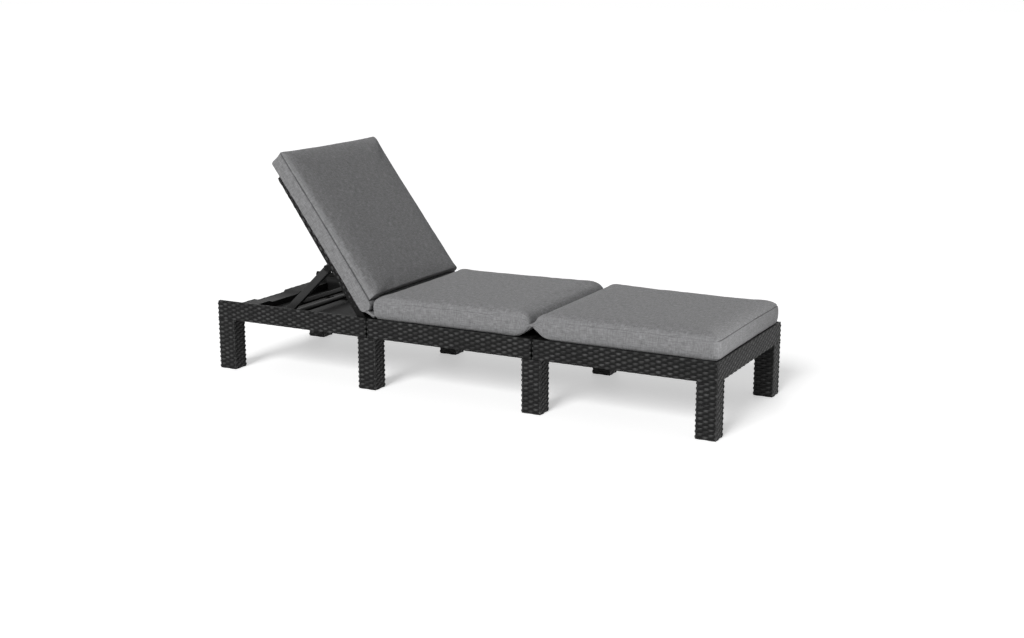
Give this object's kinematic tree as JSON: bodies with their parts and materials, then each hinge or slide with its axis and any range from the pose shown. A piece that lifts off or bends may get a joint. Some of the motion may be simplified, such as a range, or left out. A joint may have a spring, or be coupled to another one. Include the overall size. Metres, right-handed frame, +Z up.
{
  "type": "sun lounger",
  "caption": "Flat garden lounger on short square legs, woven-look resin frame in bolted modules, backrest that tilts on a prop, and a sectioned pad.",
  "frame": {"origin": "on the floor, under the middle of the frame's length and width", "axes": "+X along the lounger from the head to the foot, +Y across it to the far side, +Z up"},
  "size_m": [1.95, 0.626, 0.8062],
  "materials": {
    "woven_resin": "moulded polypropylene with a rattan weave in relief, satin",
    "panel_resin": "moulded polypropylene with a fine woven relief",
    "smooth_resin": "plain moulded polypropylene, satin, a little lighter than the frame",
    "fastener_steel": "zinc-plated steel",
    "cushion_fabric": "woven polyester in mid grey melange, matt, with sewn edge seams"
  },
  "bodies": {
    "frame": {"head_frame": "woven_resin", "seat_frame": "woven_resin", "foot_frame": "woven_resin", "leg_head_near": "woven_resin", "leg_head_far": "woven_resin", "leg_head_seam_near": "woven_resin", "leg_head_seam_far": "woven_resin", "leg_foot_seam_near": "woven_resin", "leg_foot_seam_far": "woven_resin", "leg_foot_near": "woven_resin", "leg_foot_far": "woven_resin", "leg_screw_head_head_near": "fastener_steel", "leg_screw_head_head_far": "fastener_steel", "leg_screw_head_seam_head_near": "fastener_steel", "leg_screw_head_seam_head_far": "fastener_steel", "leg_screw_head_seam_seat_near": "fastener_steel", "leg_screw_head_seam_seat_far": "fastener_steel", "leg_screw_foot_seam_seat_near": "fastener_steel", "leg_screw_foot_seam_seat_far": "fastener_steel", "leg_screw_foot_seam_foot_near": "fastener_steel", "leg_screw_foot_seam_foot_far": "fastener_steel", "leg_screw_foot_foot_near": "fastener_steel", "leg_screw_foot_foot_far": "fastener_steel", "seam_bolt_head_near": "fastener_steel", "seam_bolt_head_far": "fastener_steel", "seam_bolt_foot_near": "fastener_steel", "seam_bolt_foot_far": "fastener_steel", "seam_nut_head_near": "fastener_steel", "seam_nut_head_far": "fastener_steel", "seam_nut_foot_near": "fastener_steel", "seam_nut_foot_far": "fastener_steel", "ratchet_rack_near": "smooth_resin", "ratchet_rack_far": "smooth_resin", "hinge_pin_near": "fastener_steel", "hinge_pin_far": "fastener_steel", "seat_cushion": "cushion_fabric", "foot_cushion": "cushion_fabric", "cushion_neck": "cushion_fabric"},
    "backrest": {"backrest_panel": "panel_resin", "back_cushion": "cushion_fabric", "prop_pin_near": "fastener_steel", "prop_pin_far": "fastener_steel"},
    "prop": {"prop_arm_near": "smooth_resin", "prop_arm_far": "smooth_resin", "prop_foot_bar": "smooth_resin", "prop_brace": "smooth_resin"}
  },
  "joints": [
    {"name": "back_recline", "type": "hinge", "parent": "frame", "child": "backrest", "pos_m": [-0.345, 0, 0.246], "axis": [0, 1, 0], "range_deg": [-54, 9]},
    {"name": "prop_swing", "type": "hinge", "parent": "backrest", "child": "prop", "pos_m": [-0.50725, 0, 0.41488], "axis": [0, 1, 0], "range_deg": [-16.4, 98]}
  ],
  "couplings": [
    {"joint": "prop_swing", "follows": "back_recline", "ratio": -1.8119}
  ]
}
